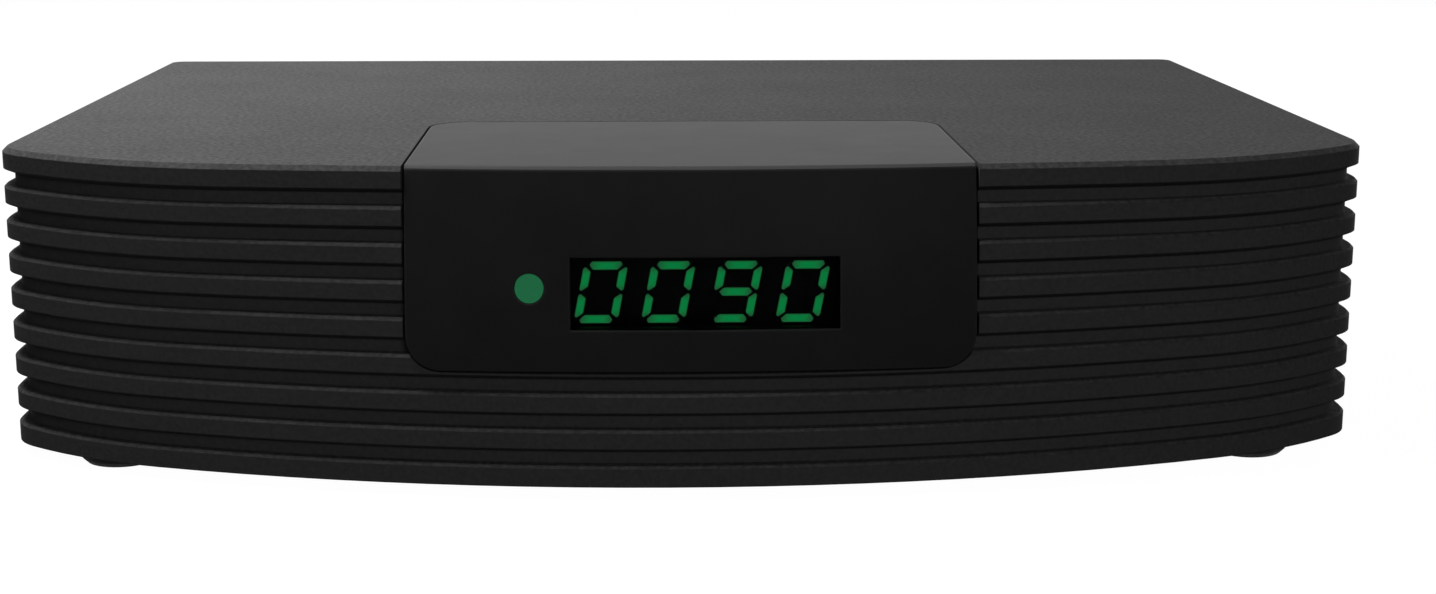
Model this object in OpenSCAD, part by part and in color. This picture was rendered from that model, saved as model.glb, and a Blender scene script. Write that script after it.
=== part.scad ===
// Digital television receiver: a ribbed case with a bowed front that leans back, a smooth fascia let
// flush into the front and the lid, a four-digit display, and a row of sockets at the back.
// The front faces -Y, +Z is up and the feet stand on Z = 0. All sizes are in millimetres.

/* [Case] */
// Width over the ribs
body_w = 168; // [166:1:190]
// Depth from the front of the base to the back
body_d = 126; // [122:1:150]
// How far the front of the base bows ahead of the side corners
front_bow = 26.3; // [24.5:0.1:28]
// How far the lid's front edge lies behind the front of the base
front_lean = 5; // [3.5:0.1:6]
// Radius of the front's shoulders
shoulder_r = 53.5; // [48:0.5:57]
// Angle at which a shoulder runs into the corner
shoulder_turn = 40; // [36:1:43]
// Radius of the front corners
corner_r = 8; // [6:0.5:10]
// Radius of the back corners
back_r = 2.5; // [2:0.25:2.75]
// Wall thickness behind the grooves
wall_t = 1.8; // [1.6:0.1:2.4]

/* [Ribs] */
// Height of the lid's plain rim
rim_h = 2.6; // [2.2:0.1:3.5]
// Chamfer round the lid
lid_edge = 0.6; // [0.3:0.05:0.9]
// Distance from rib to rib
rib_pitch = 4.24; // [4.1:0.02:4.8]
// Height of a rib's face
rib_face = 2.24; // [1.8:0.02:2.6]
// Chamfer on the top edge of each rib
rib_edge = 0.35; // [0.2:0.05:0.6]
// How far the underside of each rib slopes down on its way in to the groove
rib_under = 0.6; // [0.4:0.05:1]
// Depth of the grooves between the ribs
groove_d = 1.35; // [1.25:0.05:1.6]
// Ribs on the top cover
cover_ribs = 5; // [5:1:6]
// Ribs on the bottom case
case_ribs = 3; // [3:1:4]
// How much taller the lowest rib is than the others
base_skirt = 0.3; // [0.2:0.1:1.5]
// Height of the tongue that keys the two halves together
tongue_h = 1.5; // [1:0.1:1.8]
// Thickness of the tongue
tongue_t = 1.2; // [0.8:0.1:1.6]

/* [Fascia] */
// Width of the fascia
fascia_w = 66.2; // [62:0.2:72]
// Height of the fascia below the lid's top
fascia_h = 23.2; // [22.6:0.1:23.5]
// Thickness of the fascia
fascia_t = 2; // [1.6:0.1:2.4]
// How far back the fascia reaches over the lid, from the front of the base
fascia_reach = 45.5; // [40:0.5:55]
// Radius of the fascia's lower corners
fascia_corner_r = 4; // [2:0.5:6]
// Radius of the fascia's back corners
fascia_back_r = 5; // [3:0.5:8]
// Gap between the fascia and the case round it
fascia_gap = 0.3; // [0.15:0.05:0.4]
// Chamfer along the fascia's top front edge
fascia_chamfer = 0.35; // [0.2:0.05:0.6]
// Radius at which the fascia bows across its width
fascia_r = 280; // [240:5:340]
// Thickness of the pad under the fascia's top
pad_t = 1.6; // [1.2:0.1:2]
// How far the pad reaches past the fascia
pad_lap = 2.5; // [2:0.1:4]

/* [Display] */
// Width of the display lens
lens_w = 31; // [30:0.2:33]
// Height of the display lens
lens_h = 8.1; // [8:0.1:9.5]
// Sideways place of the lens
lens_x = 1.5; // [0.5:0.1:2.5]
// Depth of the lens's centre below the lid's top
lens_drop = 14.3; // [13.5:0.05:15]
// Depth of the display module's body
module_d = 6; // [5:0.5:7]
// Distance from digit to digit
digit_pitch = 7.84; // [7.4:0.02:8]
// Height of a digit
digit_h = 7.2; // [6.6:0.1:7.6]
// Width of a digit
digit_w = 5.2; // [4.6:0.1:5.6]
// Width of a segment
segment_w = 1; // [0.8:0.05:1.2]
// Gap between segments
segment_gap = 0.18; // [0.1:0.02:0.3]
// Slant of the digits
digit_slant = 10.8; // [0:0.2:12]
// How much lower than the lens the digits sit
digit_sink = 0.5; // [0:0.05:0.6]
// Diameter of the indicator
indicator_d = 3.3; // [2.8:0.1:4]
// Sideways place of the indicator
indicator_x = -18.75; // [-20:0.05:-17.8]
// Depth of the indicator's centre below the lid's top
indicator_drop = 13.7; // [12.5:0.05:15]
// Length of the indicator lamp
lamp_l = 3; // [2.5:0.1:4]
// Sideways place of the infrared receiver
ir_x = 24; // [22.5:0.5:25]

/* [Feet] */
// Diameter of a foot
foot_d = 10; // [8:0.5:10.5]
// How far a foot stands below the base
foot_h = 1.5; // [1:0.1:3]
// How deep a foot sits in the base
foot_sink = 0.8; // [0.4:0.1:1.2]
// Distance of the feet from the sides
foot_side = 14; // [14:0.5:18]
// Distance of the front feet from the front of the base
foot_front = 20; // [20:0.5:26]
// Distance of the rear feet from the back
foot_rear = 14; // [11:1:22]

/* [Boards] */
// Width of the main board
board_w = 137.4; // [137:0.2:139]
// Depth of the main board
board_d = 86; // [84:1:88]
// Thickness of both boards
board_t = 1.6; // [1.2:0.1:2]
// How far the main board reaches past the row of sockets
board_margin = 0.2; // [0:0.1:0.3]
// Height of the standoffs under the main board
standoff_h = 5; // [4:0.5:6]
// Distance of the board screws from the board's sides
board_hole_in = 5; // [4.5:0.5:5.5]
// Distance of the front board screws from the board's front
board_hole_front = 14; // [12:0.5:16]
// Distance between the front and rear board screws
board_hole_span = 29; // [24:1:31]
// Width of the display board
display_board_w = 62; // [61:0.5:64]
// Height of the display board
display_board_h = 20; // [19:0.5:20]
// Width of the ribbon between the boards
ribbon_w = 16; // [12:1:18]
// Thickness of the ribbon
ribbon_t = 0.8; // [0.6:0.1:1]

/* [Fasteners] */
// Diameter of the case screws
case_screw_d = 2.9; // [2.5:0.1:3.2]
// Length of the case screws
case_screw_l = 18; // [17:0.5:20]
// Diameter of the case screws' heads
case_head_d = 5.6; // [5:0.1:6]
// Height of the case screws' heads
case_head_h = 2; // [1.6:0.1:2.4]
// Depth of the recess for the case screws
case_recess = 2.6; // [2.5:0.1:4]
// Distance of the case screws from the inner side walls
case_screw_in = 5.1; // [4.9:0.1:5.5]
// Distance of the front case screws from the front of the base
case_screw_front = 41; // [38:1:46]
// Distance of the rear case screws from the back
case_screw_rear = 34; // [32:1:38]
// Diameter of the board screws
board_screw_d = 2.4; // [2:0.1:2.5]
// Length of the board screws
board_screw_l = 5.6; // [4.6:0.1:6]
// Diameter of the board screws' heads
board_head_d = 4.6; // [4:0.1:5]
// Height of the board screws' heads
board_head_h = 1.6; // [1.2:0.1:2]

/* [Rear] */
// Thickness of the rear panel
rear_t = 1.2; // [1:0.1:1.6]
// How far the rear panel lies in front of the case's back
rear_inset = 3.2; // [2.8:0.1:4]
// Depth of the slot that holds the rear panel
slot_d = 0.9; // [0.6:0.1:1]
// How far the aerial connectors stand out behind the case
jut = 9; // [8:0.5:12]
// Gap between neighbouring sockets
socket_gap = 2.6; // [2.4:0.1:2.8]
// Left edge of the row of sockets
row_x = -70.4; // [-70.6:0.1:-69.8]
// Width of the tuner can
tuner_w = 32; // [31.5:0.1:32.2]
// Depth of the tuner can
tuner_d = 30; // [24:1:33]
// Height of the tuner can
tuner_h = 14; // [13.5:0.5:17]
// Distance between the two aerial connectors
aerial_pitch = 15; // [14.5:0.5:17]
// Diameter of the aerial plug's sleeve
aerial_d = 9.5; // [9.4:0.05:9.6]
// Diameter of the aerial connectors' centre pin
aerial_pin_d = 2.4; // [2.2:0.05:2.5]
// Width of the digital video socket
video_w = 15.2; // [15:0.1:15.4]
// Height of the digital video socket
video_h = 6.2; // [6:0.1:6.6]
// Width of the serial socket
serial_w = 13.2; // [13:0.1:13.4]
// Height of the serial socket
serial_h = 5.8; // [5.6:0.1:6.4]
// Width of the 21-pin socket
av_w = 47; // [46.8:0.1:47.2]
// Height of the 21-pin socket
av_h = 17; // [16:0.5:19]
// Width of the audio jack
audio_w = 10; // [9.8:0.1:10.2]
// Diameter of the audio jack's barrel
audio_d = 8.3; // [8:0.1:8.6]
// Width of the power jack
power_w = 9; // [8.8:0.1:9.2]
// Diameter of the power jack's pin
power_pin_d = 2; // [1.6:0.1:2.5]
// Width of the power switch's flange
switch_w = 10.6; // [10.4:0.1:10.8]
// Height of the power switch's flange
switch_h = 15.2; // [15:0.1:16]
// Tilt of the rocker to each side
rocker_tilt = 9; // [6:0.5:10]

/* [Clearances] */
// Gap round a fitted piece
fit_gap = 0.15; // [0.1:0.01:0.2]
// Gap round a socket in the rear panel
cut_gap = 0.3; // [0.2:0.05:0.4]
// Radial gap round a screw's shank
screw_gap = 0.1; // [0.05:0.01:0.2]
// Radial running gap of the rocker's trunnions
run_gap = 0.05; // [0.03:0.01:0.08]

/* [Hidden] */
$fn = 96;
cut = 1;
charcoal = "#37383a";
fascia_black = "#1b1b1d";
steel = "#b9bcc0";
board_green = "#1d5a36";
black = "#141416";
brass = "#c9a24a";
ivory = "#e8e6dc";

// Heights
base_z = foot_h;
rib_gap = rib_pitch - rib_face;
body_h = rim_h + (cover_ribs + case_ribs) * rib_pitch + base_skirt;
lid_z = base_z + body_h;
rim_z = lid_z - rim_h;
seam_z = rim_z - cover_ribs * rib_pitch;
floor_z = base_z + rib_face + base_skirt;

// Case outline: the front is an arc, two shoulder arcs and two corner arcs
lean_r = (front_lean * front_lean + body_h * body_h) / (2 * front_lean);
shoulder_run = body_w / 2 - shoulder_r * sin(shoulder_turn) - corner_r * (1 - sin(shoulder_turn));
shoulder_drop = shoulder_r * (1 - cos(shoulder_turn)) + corner_r * cos(shoulder_turn);
corner_c = [body_w / 2 - corner_r, front_bow];
back_c = [body_w / 2 - back_r, body_d - back_r];
arc_lap = (groove_d + back_r) / 2;
arc_slack = 0.003;
groove_reach = rib_gap + rib_face / 2;
inner = groove_d + wall_t;
inner_x = body_w / 2 - inner;
total_d = body_d + jut;

// Fascia and display
fascia_z = lid_z - fascia_h;
seat_t = fascia_t + fit_gap;
lens_z = lid_z - lens_drop;
indicator_z = lid_z - indicator_drop;
module_side = 0.8;
module_over = 1.5;
module_w = lens_w + 2 * module_side;
module_h = lens_h + 2 * module_over;
lens_sag = fascia_r - sqrt(fascia_r * fascia_r - pow(module_w / 2 + lens_x, 2));
module_y = lean_r - sqrt(lean_r * lean_r - pow(lens_z + module_h / 2 - base_z, 2))
    + fascia_t + lens_sag + 2 * fit_gap;
display_y = module_y + module_d;
display_drop = 0.6;
display_z = lens_z - display_board_h / 2 - display_drop;
window_gap = 1;
window_h = module_h + 2 * window_gap;
window_side = 2;
window_w = display_board_w - 2 * window_side;
digit_shift = 0.3;
digit_x = lens_x - digit_shift;
digit_z = lens_z - digit_sink;
digit_t = 0.2;
shown = ["abcdef", "abcdef", "abcdfg", "abcdef"];
lamp_d = 3;
pipe_end = display_y - lamp_l - fit_gap;
ir_size = [6, 4, 7];
ir_dome_r = 2.2;

// Display posts
post_w = 5;
post_t = 1.4;
post_x = display_board_w / 2 - post_w;
post_grip = 5;
post_top = display_z + post_grip;

// Boards
board_z = floor_z + standoff_h;
board_top = board_z + board_t;
rear_y = body_d - rear_inset;
panel_y = rear_y - rear_t;
board_gap = 0.6;
board_back = panel_y - board_gap;
board_y = board_back - board_d;
board_x = row_x - board_margin + board_w / 2;
standoff_d = 6;
board_holes = [for (sx = [-1, 1], sy = [0, 1])
    [board_x + sx * (board_w / 2 - board_hole_in), board_y + board_hole_front + sy * board_hole_span]];
link_side = 2;
link_w = ribbon_w + 2 * link_side;
link_h = 4;
display_link_d = 5;
main_link_d = 8;
main_link_in = 1;
ribbon_rise = 3;
ribbon_z = display_z + ribbon_rise;
display_link = [link_w, display_link_d, link_h];
main_link = [link_w, main_link_d, ribbon_z + link_h / 2 - board_top];
main_link_y = board_y + main_link_in;

// Case screws
boss_d = 9;
cover_boss_d = 6.5;
case_head_z = base_z + case_recess;
case_screws_at = [for (sx = [-1, 1], y = [case_screw_front, body_d - case_screw_rear])
    [sx * (inner_x - case_screw_in), y]];

recess_reach = 0.6;
recess_slot = 0.16;

// Feet
feet_at = [for (sx = [-1, 1], y = [foot_front, body_d - foot_rear]) [sx * (body_w / 2 - foot_side), y]];
foot_edge = 0.6;

// Row of sockets, from the left as seen from the front
tuner_x = row_x + tuner_w / 2;
aerial_rise = 8.5;
aerial_z = board_top + aerial_rise;
aerial_in_x = tuner_x - aerial_pitch / 2;
aerial_out_x = tuner_x + aerial_pitch / 2;
aerial_wall = 1;
plug_wall = 0.6;
plug_collar = 1;
aerial_floor = 1;
aerial_base = board_back + aerial_floor;
aerial_end = body_d + jut;
contact_in = 1;
video_x = row_x + tuner_w + socket_gap + video_w / 2;
serial_x = video_x + video_w / 2 + socket_gap + serial_w / 2;
av_x = serial_x + serial_w / 2 + socket_gap + av_w / 2;
audio_x = av_x + av_w / 2 + socket_gap / 2 + audio_w / 2;
power_x = audio_x + audio_w / 2 + socket_gap / 2 + power_w / 2;
switch_x = power_x + power_w / 2 + socket_gap + switch_w / 2;
shell_t = 0.4;
shell_out = 0.8;
video_size = [video_w, 11.5, video_h];
video_tongue_t = 1.4;
serial_size = [serial_w, 14, serial_h];
serial_tongue_t = 1.8;
tongue_gap = 1.6;
bore_depth = 9;
av_d = 20;
av_out = 1;
av_back = rear_y + av_out;
av_rim = 1;
av_ring = 0.9;
av_slot = [0.9, 4];
av_pitch = 3.81;
av_row = 7;
av_count = 10;
av_contact_in = 2;
av_contact = [av_slot.x / 3, bore_depth - av_contact_in, av_slot.y];
jack_rise = 6;
audio_z = board_top + jack_rise;
audio_body = [audio_w, 12, 11];
audio_wall = 1;
audio_bore_d = 3.2;
audio_in = 2;
audio_end = body_d + jut - audio_in;
power_z = board_top + jack_rise;
power_body = [power_w, 13.5, 10.5];
power_wall = 0.5;
power_bore_d = 6.3;
power_pin_in = 1;

// Power switch
switch_z = (floor_z + rim_z) / 2;
switch_rim = 1.4;
switch_wall = 1.1;
switch_lap = 1;
switch_body_w = switch_w - 2 * switch_lap;
switch_body_h = switch_h - 2 * switch_lap;
switch_d = 14;
well_w = switch_body_w - 2 * switch_wall;
well_h = switch_body_h - 2 * switch_wall;
rocker_w = well_w - 4 * fit_gap;
rocker_r = well_h / 2 - 2 * fit_gap;
rocker_face = 2.6;
rocker_back = 2;
pivot_y = rear_y + switch_rim - rocker_face;
pivot_r = 1;
pivot_l = well_w + switch_wall;
well_spare = 2;
well_depth = switch_rim + rocker_r + well_spare;

// Parts on the main board
chip_x = 6;
chip_in = 40;
chip_y = board_y + chip_in;
chip_w = 27;
chip_t = 2.2;
thermal_side = 1;
thermal_t = 0.5;
sink_w = 30;
sink_base = 2;
sink_h = 11;
fin_t = 1.2;
fin_count = 8;
part_gap = 2.5;
sink_gap = 6;
memory_size = [13, 11, 1.2];
memory_x = chip_x + sink_w / 2 + sink_gap + memory_size.x / 2;
memory_pitch = 16;
flash_size = [18, 12, 1.2];
flash_x = chip_x - sink_w / 2 - sink_gap - flash_size.x / 2;
flash_shift = 6;
flash_y = chip_y - flash_shift;
crystal_size = [11, 4.6, 3.5];
crystal_shift = 10;
crystal_y = chip_y + crystal_shift;
capacitor_d = 8;
capacitor_h = 12;
capacitor_count = 3;
capacitor_pitch = 9;
capacitor_x = av_x + (av_w + capacitor_d) / 2 + fit_gap;
capacitor_y = panel_y - audio_body.y - part_gap - capacitor_d / 2;
coil_size = [8, 8, 4.5];
coil_pitch = 10;
coil_shift = 12;
coil_x = memory_x + (memory_size.x + coil_size.x) / 2 + part_gap;
coil_y = chip_y - coil_shift;

// Outline helpers. Angles turn from straight ahead, -Y, towards +X.
function ray(angle, r) = r * [sin(angle), -cos(angle)];
function lean_at(z) = lean_r - sqrt(lean_r * lean_r - (z - base_z) * (z - base_z));
function turn_at(z) = 2 * atan((front_bow - lean_at(z) - shoulder_drop) / shoulder_run);
function bow_r(z) = shoulder_r + shoulder_run / sin(turn_at(z));
function bow_c(z) = [0, lean_at(z) + bow_r(z)];
function shoulder_c(z) = bow_c(z) + ray(turn_at(z), bow_r(z) - shoulder_r);

// Where the plan's arcs meet
function bow_end(z, inset) = bow_c(z) + ray(turn_at(z), bow_r(z) - inset);
function shoulder_end(z, inset) = shoulder_c(z) + ray(shoulder_turn, shoulder_r - inset);
function flip(p) = [-p.x, p.y];

// The joints between arcs and straights round the plan, from the left end of the bow to the back
function joints(z, inset) = let (x = body_w / 2 - inset)
    [flip(bow_end(z, inset)), bow_end(z, inset), shoulder_end(z, inset), [x, corner_c.y],
        [x, back_c.y], [back_c.x, body_d - inset]];

// Each arc's centre, radius, first and last angle, and the joint at which it starts. Some slack in the
// shoulders keeps their joints clear of rounding.
function bow(z) = [bow_c(z), bow_r(z), -turn_at(z), turn_at(z), 0];
function side_arcs(z, slack = 0) = [[shoulder_c(z), shoulder_r - slack, turn_at(z), shoulder_turn, 1],
    [corner_c, corner_r, shoulder_turn, 90, 2], [back_c, back_r, 90, 180, 4]];

// The room inside the chords of the plan's arcs
module chord_plan(z, inset, back) {
    all = joints(z, inset);
    front = [all[1], all[2], all[3]];
    half = concat(front, inset < back_r ? [all[4], all[5]] : [[all[3].x, back]]);
    polygon(concat(half, [for (i = [len(half) - 1:-1:0]) flip(half[i])]));
}

// The wedge that holds an arc, between the joints at its ends
module arc_wedge(z, arc, inset, depth) {
    near = joints(z, inset + depth);
    far = joints(z, -cut);
    j = arc[4];
    mid = arc[0] + ray((arc[2] + arc[3]) / 2, (arc[1] + cut) / cos((arc[3] - arc[2]) / 2));
    polygon([near[j], far[j], mid, far[j + 1], near[j + 1]]);
}

module arc_sector(z, arc, inset) {
    intersection() {
        translate(arc[0]) circle(arc[1] - inset);
        arc_wedge(z, arc, inset, arc_lap / 2);
    }
}

// Outline of the case at height z, drawn in by an inset, with a square back if the inset is deep
module plan(z, inset, back = body_d) {
    chord_plan(z, inset, back);
    arc_sector(z, bow(z), inset);
    for (side = [0, 1]) mirror([side, 0])
        for (arc = side_arcs(z)) if (arc[1] > inset) arc_sector(z, arc, inset);
}

// A rib's edge, out from the case's outline and up from the rib's foot: the groove's wall down to a depth,
// the rib's sloped underside, its face and its chamfer
function rib_profile(h, edge, groove) = concat(
    groove > 0 ? [[-groove_d, -groove], [-groove_d, -rib_under]] : [], [[0, 0]],
    h > 0 ? [[0, h - edge], [-edge, h]] : []);

// An arc's slice of a layer with such an edge
module turned_slice(level, arc, profile, h, groove) {
    r = arc[1];
    intersection() {
        translate([arc[0].x, arc[0].y, 0]) rotate_extrude()
            polygon(concat([[r / 4, -groove]], [for (p = profile) p + [r, 0]], [[r / 4, h]]));
        translate([0, 0, -groove - cut]) linear_extrude(h + groove + 2 * cut)
            arc_wedge(level, arc, 0, arc_lap);
    }
}

// A layer of the case with a rib's foot at z and the outline of a level, down to a depth under the rib
module layer(z, h, edge, groove, level) {
    profile = rib_profile(h, edge, groove);
    side = concat([[-arc_lap, -groove]], profile, [[-arc_lap, h]]);
    translate([0, 0, z]) {
        translate([0, 0, -groove]) linear_extrude(h + groove)
            chord_plan(level, (groove_d + arc_lap) / 2, body_d);
        turned_slice(level, bow(level), profile, h, groove);
        for (turned = [0, 1]) mirror([turned, 0, 0]) {
            for (arc = side_arcs(level, arc_slack)) turned_slice(level, arc, profile, h, groove);
            translate([body_w / 2, back_c.y, 0]) rotate([90, 0, 0])
                linear_extrude(back_c.y - corner_c.y) polygon(side);
        }
        translate([-back_c.x, body_d, 0]) rotate([90, 0, 90]) linear_extrude(2 * back_c.x) polygon(side);
    }
}

// Ribs hung under a level, each with the groove below it. The last may end flat, on the seam.
module rib_stack(top, count, last_groove) {
    for (i = [1:count]) {
        z = top - i * rib_pitch;
        layer(z, rib_face, rib_edge, i < count ? groove_reach : last_groove, z + rib_face / 2);
    }
}

// The room inside the walls, with the outline that they have at one level
module room(z, h, level, inset = inner) {
    translate([0, 0, z]) linear_extrude(h) plan(level, inset, body_d + cut);
}

// Everything behind the fascia's bowed and leaning face, a depth in from it
module drum(depth) {
    reach = 2 * fascia_reach;
    translate([0, fascia_r, base_z]) rotate_extrude($fn = 360) intersection() {
        translate([fascia_r - lean_r, 0]) circle(lean_r - depth, $fn = 360);
        translate([fascia_r - reach, 0]) square([2 * reach, body_h]);
    }
}

// A box between two heights that takes in the whole front of the case
module front_band(z0, z1, half) {
    translate([-half, -2 * front_lean, z0]) cube([2 * half, fascia_reach + 4 * front_lean, z1 - z0]);
}

// The fascia's outline, grown by a gap, as seen from the front and from above
module fascia_outline(gap) {
    w = fascia_w + 2 * gap;
    r = fascia_corner_r + gap;
    low = fascia_z - gap;
    translate([0, fascia_reach + gap, 0]) rotate([90, 0, 0]) linear_extrude(fascia_reach + 4 * front_lean) {
        translate([-w / 2, low + r]) square([w, fascia_h + cut]);
        translate([r - w / 2, low]) square([w - 2 * r, fascia_h]);
        for (sx = [-1, 1]) translate([sx * (w / 2 - r), low + r]) circle(r);
    }
}

module fascia_top_outline(gap) {
    w = fascia_w + 2 * gap;
    r = fascia_back_r + gap;
    back = fascia_reach + gap;
    linear_extrude(lid_z + cut) {
        translate([-w / 2, -2 * front_lean]) square([w, back - r + 2 * front_lean]);
        translate([r - w / 2, 0]) square([w - 2 * r, back]);
        for (sx = [-1, 1]) translate([sx * (w / 2 - r), back - r]) circle(r);
    }
}

// The fascia's own shape, or with gaps round it and under it the recess that takes it
module fascia_shape(around, gap, proud) {
    difference() {
        intersection() {
            fascia_outline(around);
            fascia_top_outline(around);
            drum(-proud);
        }
        intersection() {
            drum(fascia_t + gap);
            front_band(0, lid_z - fascia_t - gap, fascia_w);
        }
    }
}

// A block that goes through the fascia at the lens
module lens_block(gap, from, to) {
    translate([lens_x - lens_w / 2 - gap, from, lens_z - lens_h / 2 - gap])
        cube([lens_w + 2 * gap, to - from, lens_h + 2 * gap]);
}

module rod_y(x, z, d, from, to) {
    translate([x, from, z]) rotate([-90, 0, 0]) cylinder(to - from, d = d);
}

module box_y(x, z, size, from) {
    translate([x - size.x / 2, from, z]) cube(size);
}

// Slot that holds the rear panel, or the panel itself, drawn in by a gap
module rear_slab(gap) {
    x = inner_x + slot_d - gap;
    low = floor_z - slot_d + gap;
    translate([-x, panel_y - fit_gap + gap, low])
        cube([2 * x, rear_t + 2 * (fit_gap - gap), rim_z + slot_d - gap - low]);
}

// The pad under the lid that carries the fascia's top
module fascia_pad() {
    half = fascia_w / 2 + pad_lap;
    translate([0, 0, lid_z - seat_t - pad_t]) linear_extrude(pad_t) intersection() {
        plan(rim_z, inner - wall_t / 2);
        translate([-half, 0]) square([2 * half, fascia_reach + pad_lap]);
    }
}

module top_cover() {
    color(charcoal) difference() {
        union() {
            difference() {
                union() {
                    layer(rim_z, rim_h, lid_edge, groove_reach, rim_z + rim_h / 2);
                    rib_stack(rim_z, cover_ribs, 0);
                }
                room(seam_z - cut, rim_z - seam_z + cut, rim_z);
            }
            fascia_pad();
            for (at = case_screws_at) translate([at.x, at.y, seam_z + fit_gap])
                cylinder(rim_z - seam_z + fit_gap, d = cover_boss_d);
        }
        fascia_shape(fascia_gap, fit_gap, 2 * front_lean);
        translate([-window_w / 2, -cut, lens_z - window_h / 2])
            cube([window_w, display_y + cut, window_h]);
        rear_slab(0);
        for (at = case_screws_at) translate([at.x, at.y, seam_z - cut])
            cylinder(case_head_z + case_screw_l - seam_z + 2 * cut, d = case_screw_d + 2 * screw_gap);
    }
}

// The lip that keys the bottom case into the top cover, as far back as the rear panel
module tongue() {
    lip = inner + fit_gap;
    h = rib_gap + tongue_h;
    translate([0, 0, seam_z - rib_gap]) difference() {
        union() {
            linear_extrude(h) plan(rim_z, lip, panel_y);
            linear_extrude(rib_gap) plan(seam_z, inner - wall_t / 2);
        }
        room(-cut, h + 2 * cut, rim_z, lip + tongue_t);
        translate([-inner_x, panel_y, -cut]) cube([2 * inner_x, body_d, h + 2 * cut]);
    }
}

module bottom_case() {
    color(charcoal) difference() {
        union() {
            difference() {
                union() {
                    layer(base_z, floor_z - base_z, rib_edge, 0, (base_z + floor_z) / 2);
                    rib_stack(seam_z, case_ribs - 1, groove_reach);
                    layer(seam_z, 0, 0, groove_reach, seam_z + rib_face / 2);
                }
                room(floor_z, rib_pitch * case_ribs, seam_z);
                translate([-body_w, -body_d, seam_z]) cube([2 * body_w, 3 * body_d, rib_pitch]);
            }
            tongue();
            for (at = case_screws_at) translate([at.x, at.y, floor_z - cut])
                cylinder(seam_z - fit_gap - floor_z + cut, d = boss_d);
            for (at = board_holes) translate([at.x, at.y, floor_z - cut])
                cylinder(standoff_h + cut, d = standoff_d);
            for (sx = [-1, 1])
                translate([sx * post_x - post_w / 2, display_y - post_t - fit_gap, floor_z - cut])
                    cube([post_w, board_t + 2 * (post_t + fit_gap), post_top - floor_z + cut]);
        }
        rear_slab(0);
        for (at = case_screws_at) translate([at.x, at.y, 0]) {
            cylinder(seam_z + cut, d = case_screw_d + 4 * screw_gap);
            cylinder(case_head_z, d = case_head_d + 6 * screw_gap);
        }
        for (at = board_holes) translate([at.x, at.y, board_top - board_screw_l - cut / 2])
            cylinder(board_screw_l, d = board_screw_d + 2 * screw_gap);
        for (at = feet_at) translate([at.x, at.y, 0]) cylinder(base_z + foot_sink, d = foot_d + 2 * fit_gap);
        translate([-display_board_w / 2 - fit_gap, display_y - fit_gap, display_z])
            cube([display_board_w + 2 * fit_gap, board_t + 2 * fit_gap, post_top]);
    }
}

// What the chamfer along the fascia's top front edge takes off
module fascia_edge() {
    top_r = fascia_r - front_lean;
    translate([0, fascia_r, base_z]) rotate_extrude($fn = 360)
        polygon([[top_r - fascia_chamfer - cut, body_h + cut], [top_r + 2 * cut, body_h + cut],
            [top_r + 2 * cut, body_h - fascia_chamfer - 2 * cut]]);
}

module fascia() {
    color(fascia_black) difference() {
        fascia_shape(0, 0, 0);
        fascia_edge();
        lens_block(fit_gap / 2, -cut, module_y);
        rod_y(indicator_x, indicator_z, indicator_d + fit_gap, -cut, module_y);
    }
}

module display_lens() {
    color(black) intersection() {
        difference() {
            drum(0);
            drum(fascia_t);
        }
        lens_block(0, -cut, module_y);
    }
}

module indicator_lens() {
    color("#2c9a5a") intersection() {
        drum(0);
        rod_y(indicator_x, indicator_z, indicator_d, -cut, pipe_end);
    }
}

// Holes that the sockets pass through
module rear_cuts() {
    for (x = [aerial_in_x, aerial_out_x])
        rod_y(x, aerial_z, aerial_d + 2 * (aerial_wall + cut_gap), panel_y - cut, rear_y + cut);
    rod_y(audio_x, audio_z, audio_d + 2 * cut_gap, panel_y - cut, rear_y + cut);
    rod_y(power_x, power_z, power_bore_d + 2 * (power_wall + cut_gap), panel_y - cut, rear_y + cut);
    for (s = [[video_x, video_w, video_h], [serial_x, serial_w, serial_h], [av_x, av_w, av_h]])
        box_y(s[0], board_top - cut_gap, [s[1] + 2 * cut_gap, rear_t + 2 * cut, s[2] + 2 * cut_gap],
            panel_y - cut);
    box_y(switch_x, switch_z - switch_body_h / 2 - fit_gap,
        [switch_body_w + 2 * fit_gap, rear_t + 2 * cut, switch_body_h + 2 * fit_gap], panel_y - cut);
}

module rear_panel() {
    color(steel) difference() {
        rear_slab(fit_gap);
        rear_cuts();
    }
}

module rubber_feet() {
    color(black) for (at = feet_at) translate([at.x, at.y, 0]) {
        cylinder(foot_edge, d1 = foot_d - 2 * foot_edge, d2 = foot_d);
        translate([0, 0, foot_edge]) cylinder(base_z + foot_sink - foot_edge, d = foot_d);
    }
}

module case_screws() {
    color(steel) for (at = case_screws_at) translate([at.x, at.y, case_head_z]) {
        cylinder(case_screw_l, d = case_screw_d);
        difference() {
            translate([0, 0, -case_head_h]) cylinder(case_head_h, d = case_head_d);
            cross_recess(-case_head_h, case_head_d, case_head_h);
        }
    }
}

// A cross recess in a screw head whose face is at z
module cross_recess(z, head, depth) {
    for (turn = [0, 90]) rotate(turn)
        cube_at(z, [head * recess_reach, head * recess_slot, depth]);
}

module cube_at(z, size) {
    translate([-size.x / 2, -size.y / 2, z - size.z / 2]) cube(size);
}

module board_screws() {
    color(steel) for (at = board_holes) translate([at.x, at.y, board_top]) {
        translate([0, 0, -board_screw_l]) cylinder(board_screw_l, d = board_screw_d);
        difference() {
            cylinder(board_head_h, d = board_head_d);
            cross_recess(board_head_h, board_head_d, board_head_h);
        }
    }
}

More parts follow.
